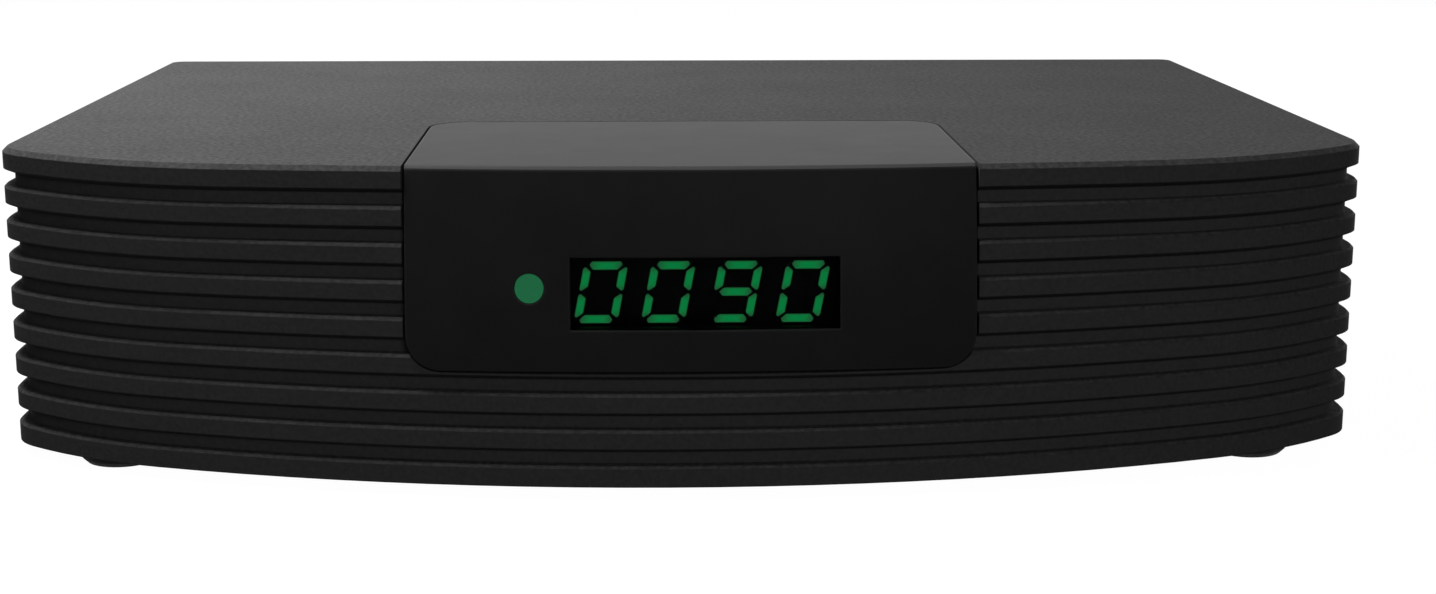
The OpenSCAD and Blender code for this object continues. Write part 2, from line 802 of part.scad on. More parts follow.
module main_board() {
    color(board_green) difference() {
        translate([board_x - board_w / 2, board_y, board_z]) cube([board_w, board_d, board_t]);
        for (at = board_holes) translate([at.x, at.y, board_z - cut])
            cylinder(board_t + 2 * cut, d = board_screw_d + 2 * screw_gap);
        for (at = case_screws_at) translate([at.x, at.y, board_z - cut])
            cylinder(board_t + 2 * cut, d = boss_d + 2 * fit_gap);
    }
}

module display_board() {
    color(board_green) translate([-display_board_w / 2, display_y, display_z])
        cube([display_board_w, board_t, display_board_h]);
}

module display_module() {
    color(black) box_y(lens_x, lens_z - module_h / 2, [module_w, module_d, module_h], module_y);
}

// A point of a digit, slanted about the digit's middle
function slanted(p) = [p.x + p.y * tan(digit_slant), p.y];

// A bar with pointed ends, along X or along Z
module segment(at, length, upright) {
    half = length / 2 - segment_gap;
    tip = half - segment_w / 2;
    w = segment_w / 2;
    bar = [[-half, 0], [-tip, w], [tip, w], [half, 0], [tip, -w], [-tip, -w]];
    polygon([for (p = bar) slanted(at + (upright ? [p.y, p.x] : p))]);
}

module digit(lit) {
    x = (digit_w - segment_w) / 2;
    z = (digit_h - segment_w) / 2;
    places = [["a", [0, z], false], ["b", [x, z / 2], true], ["c", [x, -z / 2], true],
        ["d", [0, -z], false], ["e", [-x, -z / 2], true], ["f", [-x, z / 2], true], ["g", [0, 0], false]];
    for (p = places) if (len(search(p[0], lit)) > 0)
        segment(p[1], p[2] ? z : 2 * x, p[2]);
}

module display_digits() {
    color("#22c45e") for (i = [0:len(shown) - 1])
        translate([digit_x + (i - (len(shown) - 1) / 2) * digit_pitch, module_y, digit_z])
            rotate([90, 0, 0]) linear_extrude(digit_t) digit(shown[i]);
}

module indicator_lamp() {
    color("#4ad07c") rod_y(indicator_x, indicator_z, lamp_d, display_y - lamp_l, display_y);
}

module ir_receiver() {
    color(black) {
        box_y(ir_x, lens_z - ir_size.z / 2, ir_size, display_y - ir_size.y);
        intersection() {
            translate([ir_x, display_y - ir_size.y, lens_z]) sphere(ir_dome_r);
            box_y(ir_x, lens_z - ir_size.z / 2, [ir_size.x, 2 * ir_dome_r, ir_size.z],
                display_y - ir_size.y - ir_dome_r);
        }
    }
}

module display_connector() {
    color(ivory) box_y(0, ribbon_z - display_link.z / 2, display_link, display_y + board_t);
}

module main_connector() {
    color(ivory) box_y(0, board_top, main_link, main_link_y);
}

module ribbon() {
    start = display_y + board_t + display_link.y;
    color("#c9cdd2") box_y(0, ribbon_z - ribbon_t / 2, [ribbon_w, main_link_y - start, ribbon_t], start);
}

module tuner_can() {
    color(steel) box_y(tuner_x, board_top, [tuner_w, tuner_d, tuner_h], board_back - tuner_d);
}

module aerial_socket() {
    color(steel) difference() {
        rod_y(aerial_in_x, aerial_z, aerial_d + 2 * aerial_wall, board_back, aerial_end);
        rod_y(aerial_in_x, aerial_z, aerial_d, aerial_base, aerial_end + cut);
    }
}

module aerial_insulator() {
    color(ivory) difference() {
        rod_y(aerial_in_x, aerial_z, aerial_d, aerial_base, rear_y);
        rod_y(aerial_in_x, aerial_z, 2 * aerial_pin_d, board_back, rear_y + cut);
    }
}

module aerial_contact() {
    color(brass) difference() {
        rod_y(aerial_in_x, aerial_z, 2 * aerial_pin_d, aerial_base, aerial_end - contact_in);
        rod_y(aerial_in_x, aerial_z, aerial_pin_d, rear_y, aerial_end);
    }
}

module loop_plug() {
    color(steel) difference() {
        union() {
            rod_y(aerial_out_x, aerial_z, aerial_d + 2 * aerial_wall, board_back, rear_y + plug_collar);
            rod_y(aerial_out_x, aerial_z, aerial_d, board_back, aerial_end);
        }
        rod_y(aerial_out_x, aerial_z, aerial_d - 2 * plug_wall, aerial_base, aerial_end + cut);
    }
}

module loop_insulator() {
    color(ivory) difference() {
        rod_y(aerial_out_x, aerial_z, aerial_d - 2 * plug_wall, aerial_base, rear_y);
        rod_y(aerial_out_x, aerial_z, aerial_pin_d, board_back, rear_y + cut);
    }
}

module loop_pin() {
    color(brass) rod_y(aerial_out_x, aerial_z, aerial_pin_d, aerial_base, aerial_end - contact_in / 2);
}

// A sheet-metal socket shell, open at the back of the case
module socket_shell(x, size) {
    from = rear_y + shell_out - size.y;
    difference() {
        box_y(x, board_top, size, from);
        box_y(x, board_top + shell_t, size - [2 * shell_t, 0, 2 * shell_t], from + shell_t);
    }
}

// The contact tongue inside a socket shell
module socket_tongue(x, size, t) {
    box_y(x, board_top + (size.z - t) / 2,
        [size.x - 2 * (shell_t + tongue_gap), size.y - shell_t - tongue_gap, t],
        rear_y + shell_out - size.y + shell_t);
}

module video_socket() {
    color(steel) socket_shell(video_x, video_size);
}

module video_tongue() {
    color(black) socket_tongue(video_x, video_size, video_tongue_t);
}

module serial_socket() {
    color(steel) socket_shell(serial_x, serial_size);
}

module serial_tongue() {
    color(ivory) socket_tongue(serial_x, serial_size, serial_tongue_t);
}

// Places of the contacts of the 21-pin socket
av_places = [for (row = [-0.5, 0.5], i = [0:av_count - 1])
    [av_x + (i - (av_count - 1) / 2 + row / 2) * av_pitch, board_top + av_h / 2 + row * av_row]];

module av_slots(grow, from, to) {
    for (p = av_places)
        box_y(p.x, p.y - av_slot.y / 2 - grow, [av_slot.x + 2 * grow, to - from, av_slot.y + 2 * grow], from);
}

// A block of the 21-pin socket, drawn in all round by an inset
module av_block(inset, depth) {
    box_y(av_x, board_top + inset, [av_w - 2 * inset, depth, av_h - 2 * inset], av_back - depth);
}

module av_socket() {
    color(black) difference() {
        av_block(0, av_d);
        difference() {
            av_block(av_rim, bore_depth);
            av_block(av_rim + av_ring, bore_depth);
        }
        av_slots(fit_gap, av_back - bore_depth, av_back + cut);
    }
}

module av_contacts() {
    color(brass) for (p = av_places)
        box_y(p.x, p.y - av_slot.y / 2, av_contact, av_back - bore_depth);
}

module audio_jack() {
    color("#d9822b") difference() {
        union() {
            box_y(audio_x, board_top, audio_body, panel_y - audio_body.y - fit_gap);
            rod_y(audio_x, audio_z, audio_d - 2 * audio_wall, panel_y - cut, audio_end - contact_in);
        }
        rod_y(audio_x, audio_z, audio_bore_d, panel_y - bore_depth, audio_end);
    }
}

module audio_barrel() {
    color(steel) difference() {
        rod_y(audio_x, audio_z, audio_d, panel_y - fit_gap, audio_end);
        rod_y(audio_x, audio_z, audio_d - 2 * audio_wall, panel_y - cut, audio_end + cut);
    }
}

module power_jack() {
    color(black) difference() {
        union() {
            box_y(power_x, board_top, power_body, panel_y - power_body.y - fit_gap);
            rod_y(power_x, power_z, power_bore_d + 2 * power_wall, panel_y - cut, rear_y);
        }
        rod_y(power_x, power_z, power_bore_d, rear_y - bore_depth, rear_y + cut);
    }
}

module power_pin() {
    color(steel) rod_y(power_x, power_z, power_pin_d, rear_y - bore_depth, rear_y - power_pin_in);
}

module switch_body() {
    color(black) difference() {
        union() {
            box_y(switch_x, switch_z - switch_h / 2, [switch_w, switch_rim, switch_h], rear_y);
            box_y(switch_x, switch_z - switch_body_h / 2, [switch_body_w, switch_d, switch_body_h],
                rear_y - switch_d);
        }
        box_y(switch_x, switch_z - well_h / 2, [well_w, well_depth + cut, well_h],
            rear_y + switch_rim - well_depth);
        translate([switch_x - pivot_l / 2, pivot_y, switch_z]) rotate([0, 90, 0])
            cylinder(pivot_l, r = pivot_r + run_gap);
    }
}

// The rocker, pressed at its lower end
module switch_rocker() {
    color("#202022") translate([switch_x, pivot_y, switch_z]) rotate([-rocker_tilt, 0, 0]) {
        difference() {
            rotate([0, 90, 0]) cylinder(rocker_w, r = rocker_r, center = true);
            translate([-rocker_w, -2 * rocker_r - rocker_back, -rocker_r])
                cube([2 * rocker_w, 2 * rocker_r, 2 * rocker_r]);
            for (tilt = [-rocker_tilt, rocker_tilt]) rotate([tilt, 0, 0])
                translate([-rocker_w, rocker_face, tilt > 0 ? 0 : -2 * rocker_r])
                    cube([2 * rocker_w, rocker_r, 2 * rocker_r]);
        }
        rotate([0, 90, 0]) cylinder(pivot_l - 2 * fit_gap, r = pivot_r, center = true);
    }
}

module flat_chip(x, y, size) {
    translate([x - size.x / 2, y - size.y / 2, board_top]) cube(size);
}

module processor() {
    color(black) flat_chip(chip_x, chip_y, [chip_w, chip_w, chip_t]);
}

module thermal_pad() {
    w = chip_w - 2 * thermal_side;
    color("#9aa7b5") translate([0, 0, chip_t]) flat_chip(chip_x, chip_y, [w, w, thermal_t]);
}

module heat_sink() {
    step = (sink_w - fin_t) / (fin_count - 1);
    color("#85898e") translate([0, 0, chip_t + thermal_t]) {
        flat_chip(chip_x, chip_y, [sink_w, sink_w, sink_base]);
        for (i = [0:fin_count - 1])
            flat_chip(chip_x - sink_w / 2 + fin_t / 2 + i * step, chip_y, [fin_t, sink_w, sink_h]);
    }
}

module memory_chips() {
    color(black) for (i = [-0.5, 0.5]) flat_chip(memory_x, chip_y + i * memory_pitch, memory_size);
}

module flash_chip() {
    color(black) flat_chip(flash_x, flash_y, flash_size);
}

module capacitors() {
    color("#26324a") for (i = [0:capacitor_count - 1])
        translate([capacitor_x, capacitor_y - i * capacitor_pitch, board_top])
            cylinder(capacitor_h, d = capacitor_d);
}

module coils() {
    color("#55585c") for (i = [-0.5, 0.5]) flat_chip(coil_x, coil_y + i * coil_pitch, coil_size);
}

module crystal() {
    color(steel) flat_chip(flash_x, crystal_y, crystal_size);
}

// Every piece sits in one frame, centred over the depth
module placed() {
    translate([0, -total_d / 2, 0]) children();
}

placed() top_cover();
placed() bottom_case();
placed() fascia();
placed() display_lens();
placed() indicator_lens();
placed() rear_panel();
placed() rubber_feet();
placed() case_screws();
placed() board_screws();
placed() main_board();
placed() display_board();
placed() display_module();
placed() display_digits();
placed() indicator_lamp();
placed() ir_receiver();
placed() display_connector();
placed() main_connector();
placed() ribbon();
placed() tuner_can();
placed() aerial_socket();
placed() aerial_insulator();
placed() aerial_contact();
placed() loop_plug();
placed() loop_insulator();
placed() loop_pin();
placed() video_socket();
placed() video_tongue();
placed() serial_socket();
placed() serial_tongue();
placed() av_socket();
placed() av_contacts();
placed() audio_jack();
placed() audio_barrel();
placed() power_jack();
placed() power_pin();
placed() switch_body();
placed() switch_rocker();
placed() processor();
placed() thermal_pad();
placed() heat_sink();
placed() memory_chips();
placed() flash_chip();
placed() capacitors();
placed() coils();
placed() crystal();
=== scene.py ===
import math
import bmesh
import bpy
from mathutils import Euler, Matrix, Vector


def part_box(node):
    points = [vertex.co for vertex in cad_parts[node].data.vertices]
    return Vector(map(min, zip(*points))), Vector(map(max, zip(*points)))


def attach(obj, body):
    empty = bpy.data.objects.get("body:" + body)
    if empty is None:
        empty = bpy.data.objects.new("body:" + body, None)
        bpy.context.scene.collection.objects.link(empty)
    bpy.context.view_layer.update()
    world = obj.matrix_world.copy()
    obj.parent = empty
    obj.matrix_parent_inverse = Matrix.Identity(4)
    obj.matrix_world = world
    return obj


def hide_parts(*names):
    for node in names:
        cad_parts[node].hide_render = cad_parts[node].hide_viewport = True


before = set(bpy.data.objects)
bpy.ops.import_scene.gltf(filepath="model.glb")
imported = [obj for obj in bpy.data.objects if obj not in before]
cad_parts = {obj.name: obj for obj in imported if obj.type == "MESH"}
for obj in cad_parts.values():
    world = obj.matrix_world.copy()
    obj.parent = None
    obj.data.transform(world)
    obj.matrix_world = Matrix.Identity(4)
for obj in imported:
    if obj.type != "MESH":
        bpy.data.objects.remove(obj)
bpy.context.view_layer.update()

# Bottom case: the lower three ribs and the floor, one shell moulded in charcoal ABS. The mould is
# spark-eroded, so its faces are satin with a fine grain. A tongue on its rim keys into the top cover.
MM = 0.001


def linear(colour):
    """An sRGB hex colour as linear red, green, blue and alpha."""
    shares = [int(colour[i:i + 2], 16) / 255 for i in (1, 3, 5)]
    return [s / 12.92 if s <= 0.04045 else ((s + 0.055) / 1.055) ** 2.4 for s in shares] + [1.0]


def per(size):
    """The texture scale at which a pattern's features are this many millimetres wide."""
    return 1 / (size * MM)


def add(tree, kind, inputs=None, **settings):
    """Adds a node. An input is a value, or the output of another node to link to it."""
    node = tree.nodes.new(kind)
    for name, value in settings.items():
        setattr(node, name, value)
    for name, value in (inputs or {}).items():
        if isinstance(value, bpy.types.NodeSocket):
            tree.links.new(value, node.inputs[name])
        else:
            node.inputs[name].default_value = value
    return node


def start_material(name, constants):
    """A new material with these constants on its shader. Gives the material, its node tree, its shader and
    the object coordinates that its patterns read."""
    material = bpy.data.materials.new(name)
    material.use_nodes = True
    tree = material.node_tree
    shader = tree.nodes["Principled BSDF"]
    for socket, value in constants.items():
        shader.inputs[socket].default_value = value
    return material, tree, shader, add(tree, "ShaderNodeTexCoord").outputs["Object"]


def finish_surface(tree, shader, colour, roughness, normal):
    """Links the patterns of a surface to its shader."""
    for socket, pattern in (("Base Color", colour), ("Roughness", roughness), ("Normal", normal)):
        tree.links.new(pattern, shader.inputs[socket])


def dress(material, *nodes):
    """Gives CAD nodes a material."""
    for node in nodes:
        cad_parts[node].material_slots[0].material = material


# A colour mix shares its sockets' names with other mixes, so its factor, colours and result go by number
FACTOR, FIRST, SECOND, MIXED = 0, 6, 7, 2
# Clouds in a moulding's colour are this many millimetres wide, and the grain has this share beside them
CLOUD_WIDTH = 14
GRAIN_SHARE = 0.85
# Parts of a noise's range that are stretched over a whole range of colour or gloss
COLOUR_LOW, COLOUR_HIGH = 0.35, 0.65
GLOSS_LOW, GLOSS_HIGH = 0.3, 0.7
# How far the normal of an upright and of a level face rises
UPRIGHT, LEVEL = 0.3, 0.9
MEAN_SHARE = 0.5
# Cosine of the turn from a face's normal to its eased edge's: on the bare face and at the edge's full wear
# and painted highlight
FACE_TURN, EDGE_TURN = 1.0, 0.9
EDGE_SAMPLES = 4


def moulded(name, dark, light, grain, depth, rough, constants, edge=0.2, edge_wear_and_highlight=None, sides=1.0):
    """Moulded plastic: clouded colour, a grain that breaks the gloss, and edges eased by the mould and given
    their own colour, partly as wear and partly as a painted highlight. The grain's width and depth and the
    edge's radius are in millimetres, and sides is the share of its contrast that upright faces keep."""
    material, tree, shader, place = start_material(name, constants)
    cloud = add(tree, "ShaderNodeTexNoise", {"Vector": place, "Scale": per(CLOUD_WIDTH), "Detail": 3.0})
    speck = add(tree, "ShaderNodeTexNoise", {"Vector": place, "Scale": per(grain), "Detail": 2.0})
    both = add(tree, "ShaderNodeMix", {"Factor": GRAIN_SHARE, "A": cloud.outputs[0], "B": speck.outputs[0]})
    share = add(tree, "ShaderNodeMapRange", {"Value": both.outputs[0], "From Min": COLOUR_LOW,
                                             "From Max": COLOUR_HIGH})
    face = add(tree, "ShaderNodeNewGeometry")
    rise = add(tree, "ShaderNodeSeparateXYZ", {"Vector": face.outputs["Normal"]})
    kept = add(tree, "ShaderNodeMapRange", {"Value": rise.outputs["Z"], "From Min": UPRIGHT,
                                            "From Max": LEVEL, "To Min": sides})
    share = add(tree, "ShaderNodeMix", {"Factor": kept.outputs[0], "A": MEAN_SHARE, "B": share.outputs[0]})
    colour = add(tree, "ShaderNodeMix", {FACTOR: share.outputs[0], FIRST: linear(dark),
                                         SECOND: linear(light)}, data_type="RGBA")
    gloss = add(tree, "ShaderNodeMapRange", {"Value": both.outputs[0], "From Min": GLOSS_LOW,
                                             "From Max": GLOSS_HIGH, "To Min": rough[0], "To Max": rough[1]})
    eased = add(tree, "ShaderNodeBevel", {"Radius": edge * MM}, samples=EDGE_SAMPLES)
    bump = add(tree, "ShaderNodeBump", {"Height": speck.outputs[0], "Distance": depth * MM,
                                        "Normal": eased.outputs[0]})
    turn = add(tree, "ShaderNodeVectorMath", {0: eased.outputs[0], 1: face.outputs["Normal"]},
               operation="DOT_PRODUCT")
    # The eased edges take their own colour: partly wear, partly a painted highlight where edges catch light
    edge_wear_and_highlight_mask = add(tree, "ShaderNodeMapRange", {"Value": turn.outputs["Value"], "From Min": FACE_TURN,
                                            "From Max": EDGE_TURN})
    colour = add(tree, "ShaderNodeMix", {FACTOR: edge_wear_and_highlight_mask.outputs[0], FIRST: colour.outputs[MIXED],
                                         SECOND: linear(edge_wear_and_highlight or light)}, data_type="RGBA")
    finish_surface(tree, shader, colour.outputs[MIXED], gloss.outputs[0], bump.outputs[0])
    return material


# Spark-eroded ABS: satin charcoal with a fine speckle on the lid, which fades on the ribs, where the mould
# is smoother so that they slide out. The real pits are about 0.3 mm across, too fine to show, so they are
# drawn twice as coarse. The specular level is far below that of real ABS, to match the object's tones.
case_abs = moulded("textured ABS", "#363636", "#4a4a4a", grain=0.6, depth=0.05, rough=(0.5, 0.62),
                   constants={"IOR": 1.53, "Specular IOR Level": 0.0015}, edge_wear_and_highlight="#373737", sides=0.3)
dress(case_abs, "bottom_case")

# Rubber feet: four short round pads, moulded in black rubber and pressed into recesses in the floor.
# They are matt and near black, with a well rounded rim.
foot_rubber = moulded("black rubber", "#0d0d0d", "#1b1b1a", grain=0.5, depth=0.015, rough=(0.75, 0.9),
                      constants={"IOR": 1.52, "Specular IOR Level": 0.2}, edge=0.4)
dress(foot_rubber, "rubber_feet")

# Main board: glass-fibre laminate with green solder mask over copper, screwed to four standoffs. The
# tracks show through the semi-gloss mask as paler raised lines, and the glass weave ripples it.
TRACK_PITCH = 6
TRACK_SHARE = 0.06
COPPER_T = 0.035
WEAVE = 0.6
board_mask, tree, shader, place = start_material("green solder mask on FR-4", {"Roughness": 0.35})
track = add(tree, "ShaderNodeTexBrick", {"Vector": place, "Scale": per(TRACK_PITCH),
                                         "Color1": linear("#14502f"), "Color2": linear("#1b6138"),
                                         "Mortar": linear("#2f7c4c"), "Mortar Size": TRACK_SHARE})
weave = add(tree, "ShaderNodeTexNoise", {"Vector": place, "Scale": per(WEAVE), "Detail": 2.0})
gloss = add(tree, "ShaderNodeMapRange", {"Value": weave.outputs[0], "To Min": 0.25, "To Max": 0.45})
raised = add(tree, "ShaderNodeBump", {"Height": track.outputs["Fac"], "Distance": COPPER_T * MM})
finish_surface(tree, shader, track.outputs[0], gloss.outputs[0], raised.outputs[0])
dress(board_mask, "main_board", "display_board")

# Parts on the main board: moulded chips, a crystal in a can, shielded coils and electrolytic capacitors,
# all soldered, a finned heat sink on a soft pad over the processor, and the tuner in its can.

# Glass-filled epoxy is dull and near black, with a fine speckle
chip_epoxy = moulded("glass-filled epoxy", "#131314", "#222224", grain=0.25, depth=0.008,
                     rough=(0.5, 0.65), constants={"IOR": 1.55, "Specular IOR Level": 0.3}, edge=0.1)
dress(chip_epoxy, "processor", "memory_chips", "flash_chip")
# Filled silicone is soft, matt and blue-grey
pad_silicone = moulded("filled silicone", "#7f8b97", "#98a3ad", grain=0.6, depth=0.02, rough=(0.7, 0.85),
                       constants={"IOR": 1.41})
dress(pad_silicone, "thermal_pad")
# Sintered ferrite is matt and dark grey, with a gritty face
coil_ferrite = moulded("sintered ferrite", "#33353a", "#46484d", grain=0.4, depth=0.02, rough=(0.6, 0.8),
                       constants={"IOR": 1.6})
dress(coil_ferrite, "coils")
# A shrunk PVC sleeve is smooth, glossy and navy
sleeve_pvc = moulded("shrunk PVC sleeve", "#141c30", "#1f2a45", grain=2.0, depth=0.01, rough=(0.2, 0.3),
                     constants={"IOR": 1.54})
dress(sleeve_pvc, "capacitors")

# Blotches in a metal's plating are this many millimetres wide, and have this share beside the streaks
BLOTCH_WIDTH = 9
BLOTCH_SHARE = 0.4
METAL_EDGE = 0.15


def metal(name, dark, light, streak, rough, depth):
    """Bare or plated metal: streaks of these widths along X, Y and Z in millimetres, which break up the
    gloss, with scratches of a given depth."""
    material, tree, shader, place = start_material(name, {"Metallic": 1.0})
    drawn = add(tree, "ShaderNodeMapping", {"Vector": place, "Scale": [per(width) for width in streak]})
    grain = add(tree, "ShaderNodeTexNoise", {"Vector": drawn.outputs[0], "Scale": 1.0, "Detail": 4.0})
    blotch = add(tree, "ShaderNodeTexNoise", {"Vector": place, "Scale": per(BLOTCH_WIDTH), "Detail": 2.0})
    both = add(tree, "ShaderNodeMix", {"Factor": BLOTCH_SHARE, "A": grain.outputs[0],
                                       "B": blotch.outputs[0]})
    colour = add(tree, "ShaderNodeMix", {FACTOR: both.outputs[0], FIRST: linear(dark),
                                         SECOND: linear(light)}, data_type="RGBA")
    gloss = add(tree, "ShaderNodeMapRange", {"Value": both.outputs[0], "From Min": GLOSS_LOW,
                                             "From Max": GLOSS_HIGH, "To Min": rough[0], "To Max": rough[1]})
    eased = add(tree, "ShaderNodeBevel", {"Radius": METAL_EDGE * MM}, samples=EDGE_SAMPLES)
    bump = add(tree, "ShaderNodeBump", {"Height": grain.outputs[0], "Distance": depth * MM,
                                        "Normal": eased.outputs[0]})
    finish_surface(tree, shader, colour.outputs[MIXED], gloss.outputs[0], bump.outputs[0])
    return material


# Anodised aluminium is a grey satin, streaked along the fins
sink_metal = metal("anodised aluminium", "#6f7276", "#85888c", streak=(0.2, 12, 0.2), rough=(0.35, 0.5),
                   depth=0.004)
dress(sink_metal, "heat_sink")
# Tinned steel is pale, with soft streaks and blurred reflections
tin_plate = metal("tinned steel", "#9b9c9c", "#b6b7b6", streak=(0.4, 8, 0.4), rough=(0.25, 0.4),
                  depth=0.003)
dress(tin_plate, "tuner_can", "crystal")

# Sockets along the back of the board: bright plated shells round moulded inserts, soldered to the board
# and reaching through the rear panel.

# Bright nickel plate is a warm mirror, a little clouded
nickel = metal("bright nickel plate", "#a9a7a1", "#c4c2bc", streak=(0.6, 0.6, 0.6), rough=(0.12, 0.26),
               depth=0.001)
dress(nickel, "aerial_socket", "loop_plug", "video_socket", "serial_socket", "audio_barrel", "power_pin")
# Rolled brass is yellow and bright, faintly streaked along its length
brass = metal("rolled brass", "#b48a3c", "#d0ab5e", streak=(0.3, 5, 0.3), rough=(0.2, 0.35), depth=0.002)
dress(brass, "aerial_contact", "loop_pin", "av_contacts")
# Ivory nylon is a pale cream with a soft sheen
nylon = moulded("ivory nylon", "#cfccc0", "#e0ddd2", grain=0.5, depth=0.01, rough=(0.4, 0.55),
                constants={"IOR": 1.53})
dress(nylon, "aerial_insulator", "loop_insulator", "serial_tongue", "display_connector", "main_connector")
# Black PBT is satin, with a faint grain
socket_pbt = moulded("black PBT", "#111112", "#1d1d1f", grain=0.4, depth=0.01, rough=(0.4, 0.55),
                     constants={"IOR": 1.55, "Specular IOR Level": 0.3})
dress(socket_pbt, "av_socket", "power_jack", "video_tongue", "switch_body", "display_module", "ir_receiver")
# Orange ABS has a soft gloss, in the usual colour of a digital audio jack
orange_abs = moulded("orange ABS", "#b85c1a", "#cb6c26", grain=0.5, depth=0.01, rough=(0.35, 0.5),
                     constants={"IOR": 1.53})
dress(orange_abs, "audio_jack")

# Contacts of the two flat sockets: strips stamped from brass sheet, with eased edges. They are pressed
# half their thickness into the tongues, on both faces in the video socket and below in the serial one.
STRIP_T = 0.12 * MM
STRIP_EASE = 0.04 * MM
TIP_GAP = 0.6 * MM
STRIP_PITCH = 1


def row(count):
    """Evenly spaced places across a tongue, in millimetres from its middle."""
    return [(i - (count - 1) / 2) * STRIP_PITCH for i in range(count)]


def strips(mesh, tongue, places, width, length, upper):
    """Lays strips on the upper or lower face of a tongue, at places across it in millimetres."""
    low, high = (Vector(corner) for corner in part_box(tongue))
    for place in places:
        at = Vector(((low.x + high.x) / 2 + place * MM, high.y - TIP_GAP - length * MM / 2,
                     high.z if upper else low.z))
        size = Matrix.Diagonal((width * MM, length * MM, STRIP_T, 1))
        strip = bmesh.ops.create_cube(mesh, size=1, matrix=Matrix.Translation(at) @ size)["verts"]
        bmesh.ops.bevel(mesh, geom=list({e for v in strip for e in v.link_edges}), offset=STRIP_EASE,
                        affect="EDGES", segments=2, profile=0.5, material=-1)


def piece(name, mesh, material):
    """Makes an object of a finished bmesh."""
    made = bpy.data.objects.new(name, bpy.data.meshes.new(name))
    mesh.to_mesh(made.data)
    mesh.free()
    made.data.materials.append(material)
    bpy.context.scene.collection.objects.link(made)
    return made


laid = bmesh.new()
strips(laid, "video_tongue", row(10), width=0.45, length=5, upper=True)
strips(laid, "video_tongue", row(9), width=0.45, length=5, upper=False)
strips(laid, "serial_tongue", (-3.5, -1, 1, 3.5), width=1, length=7, upper=False)
contacts = piece("socket_contacts", laid, brass)
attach(contacts, "receiver")

# Rear panel: zinc-plated sheet steel, punched for the sockets and held in slots of the two case halves.
# The plating is pale and faintly streaked along the rolling direction.
zinc_steel = metal("zinc-plated steel", "#8f9193", "#a9abac", streak=(14, 0.35, 0.35),
                   rough=(0.38, 0.52), depth=0.003)
dress(zinc_steel, "rear_panel")

# Power switch: a black rocker moulded in ABS, which tilts on two trunnions in its housing. Its mould is
# smoother than the case's, so that it has a semi-gloss face.
rocker_abs = moulded("semi-gloss ABS", "#121214", "#1d1d20", grain=0.5, depth=0.006, rough=(0.25, 0.38),
                     constants={"IOR": 1.53, "Specular IOR Level": 0.4})
dress(rocker_abs, "switch_rocker")

# Display: a four-digit module and a lamp on a small upright board, joined to the main board by a flat
# ribbon. The lamp is a drop of green epoxy over its chip.
GLOW_WIDTH = 1.2


def light_up(tree, shader, tint):
    """Links a mixed colour to a shader as what it reflects and what it gives out."""
    for socket in ("Emission Color", "Base Color"):
        tree.links.new(tint.outputs[MIXED], shader.inputs[socket])


# Lit green epoxy glows softly and a little unevenly
lamp_epoxy, tree, shader, place = start_material("lit green epoxy", {
    "Roughness": 0.4, "Specular IOR Level": 0.1, "Emission Strength": 4.0})
glow = add(tree, "ShaderNodeTexNoise", {"Vector": place, "Scale": per(GLOW_WIDTH), "Detail": 2.0})
lit = add(tree, "ShaderNodeMix", {FACTOR: glow.outputs[0], FIRST: linear("#0a863a"),
                                  SECOND: linear("#0c9e48")}, data_type="RGBA")
light_up(tree, shader, lit)
dress(lamp_epoxy, "indicator_lamp")
# A PVC ribbon is satin grey, with a round ridge over each wire. A wave of scale 1 repeats every pi / 10.
WIRE_PITCH = 1.27
RIDGE = 0.3
sheath, tree, shader, place = start_material("grey PVC ribbon", {"Roughness": 0.5})
wire = add(tree, "ShaderNodeTexWave", {"Vector": place, "Scale": math.pi / 10 * per(WIRE_PITCH)})
# The grey is paler on each ridge and darker in the grooves between them, as painted shade.
tint = add(tree, "ShaderNodeMix", {FACTOR: wire.outputs["Fac"], FIRST: linear("#8a8d91"),
                                   SECOND: linear("#a6a9ac")}, data_type="RGBA")
rounded = add(tree, "ShaderNodeBump", {"Height": wire.outputs["Fac"], "Distance": RIDGE * MM})
tree.links.new(tint.outputs[MIXED], shader.inputs["Base Color"])
tree.links.new(rounded.outputs[0], shader.inputs["Normal"])
dress(sheath, "ribbon")

# Lit segments: light pipes cast in green epoxy, which stand a little proud of the module's face. Each is
# a slanted bar with mitred ends, longer on the digit's outer side. The four digits read 0090.
STROKE = 0.93 * MM
REACH_X, REACH_Z = 2.1 * MM, 3.17 * MM
DIGIT_PITCH = 7.84 * MM
END_GAP = 0.18 * MM
CORNER_ROUND = 0.1 * MM
SLANT = math.tan(math.radians(10.8))
SHOWN = ("abcdef", "abcdef", "abcdfg", "abcdef")
ACROSS, UP = Vector((1, 0)), Vector((0, 1))
# Each bar's middle, the way it runs, its outer side, and how far its outer corners, tips and inner corners
# draw in or stand out, in strokes
LEVEL_ENDS, UPRIGHT_ENDS, MIDDLE_ENDS = (0.25, 0.1, 0.55), (0.2, 0.25, 0.6), (0.5, 0.0, 0.5)
BARS = {"a": (Vector((0, REACH_Z)), ACROSS, UP, LEVEL_ENDS),
        "b": (Vector((REACH_X, REACH_Z / 2)), UP, ACROSS, UPRIGHT_ENDS),
        "c": (Vector((REACH_X, -REACH_Z / 2)), UP, ACROSS, UPRIGHT_ENDS),
        "d": (Vector((0, -REACH_Z)), ACROSS, -UP, LEVEL_ENDS),
        "e": (Vector((-REACH_X, -REACH_Z / 2)), UP, -ACROSS, UPRIGHT_ENDS),
        "f": (Vector((-REACH_X, REACH_Z / 2)), UP, -ACROSS, UPRIGHT_ENDS),
        "g": (Vector((0, 0)), ACROSS, UP, MIDDLE_ENDS)}


